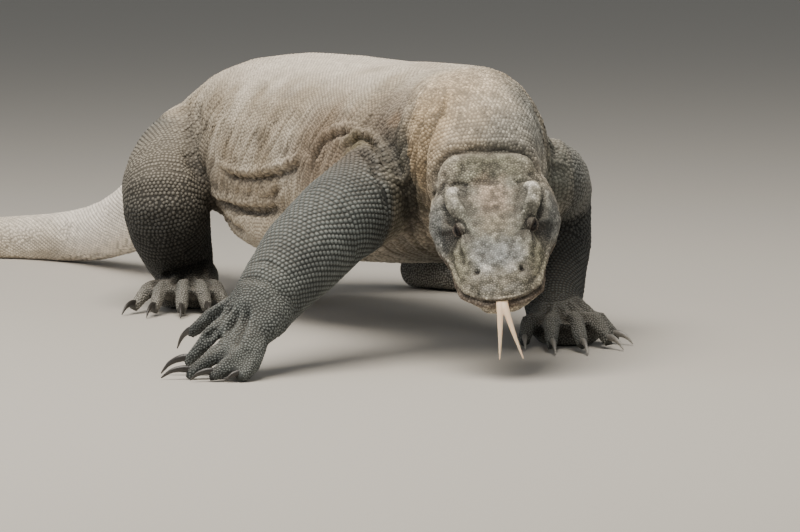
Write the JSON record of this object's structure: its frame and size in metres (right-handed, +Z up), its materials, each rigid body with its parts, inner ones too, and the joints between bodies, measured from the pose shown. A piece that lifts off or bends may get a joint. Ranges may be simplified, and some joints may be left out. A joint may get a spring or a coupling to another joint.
{
  "type": "komodo dragon",
  "caption": "Life-size model of a komodo dragon walking: head low, forked tongue out, one forelimb reaching ahead, long tapering tail laid on the floor.",
  "frame": {"origin": "bottom centre of the bounding box, on the floor under the trunk", "axes": "+Z up; the snout points to -Y and the tail runs to +Y, which is the longest extent; the animal's left side is +X"},
  "size_m": [0.9651, 2.1218, 0.3397],
  "materials": {
    "sand_hide": "dusty beaded scales, matte, sand to grey-brown",
    "slate_hide": "dusty beaded scales, matte, slate grey",
    "claw": "horn, worn satin",
    "eye": "wet, dark brown iris and black pupil",
    "tongue": "moist, smooth, cream"
  },
  "bodies": {
    "root": {"head": "sand_hide", "left_eye": "eye", "left_foot": "slate_hide", "left_foot_claw_1": "claw", "left_foot_claw_2": "claw", "left_foot_claw_3": "claw", "left_foot_claw_4": "claw", "left_foot_claw_5": "claw", "left_forearm": "slate_hide", "left_hand": "slate_hide", "left_hand_claw_1": "claw", "left_hand_claw_2": "claw", "left_hand_claw_3": "claw", "left_hand_claw_4": "claw", "left_hand_claw_5": "claw", "left_shank": "slate_hide", "left_thigh": "slate_hide", "left_upper_arm": "slate_hide", "lower_jaw": "sand_hide", "neck": "sand_hide", "right_eye": "eye", "right_foot": "slate_hide", "right_foot_claw_1": "claw", "right_foot_claw_2": "claw", "right_foot_claw_3": "claw", "right_foot_claw_4": "claw", "right_foot_claw_5": "claw", "right_forearm": "slate_hide", "right_hand": "slate_hide", "right_hand_claw_1": "claw", "right_hand_claw_2": "claw", "right_hand_claw_3": "claw", "right_hand_claw_4": "claw", "right_hand_claw_5": "claw", "right_shank": "slate_hide", "right_thigh": "slate_hide", "right_upper_arm": "slate_hide", "tail_1": "sand_hide", "tail_2": "sand_hide", "tail_3": "sand_hide", "tail_4": "sand_hide", "tongue": "tongue", "trunk_front": "sand_hide", "trunk_rear": "sand_hide"}
  },
  "joints": []
}
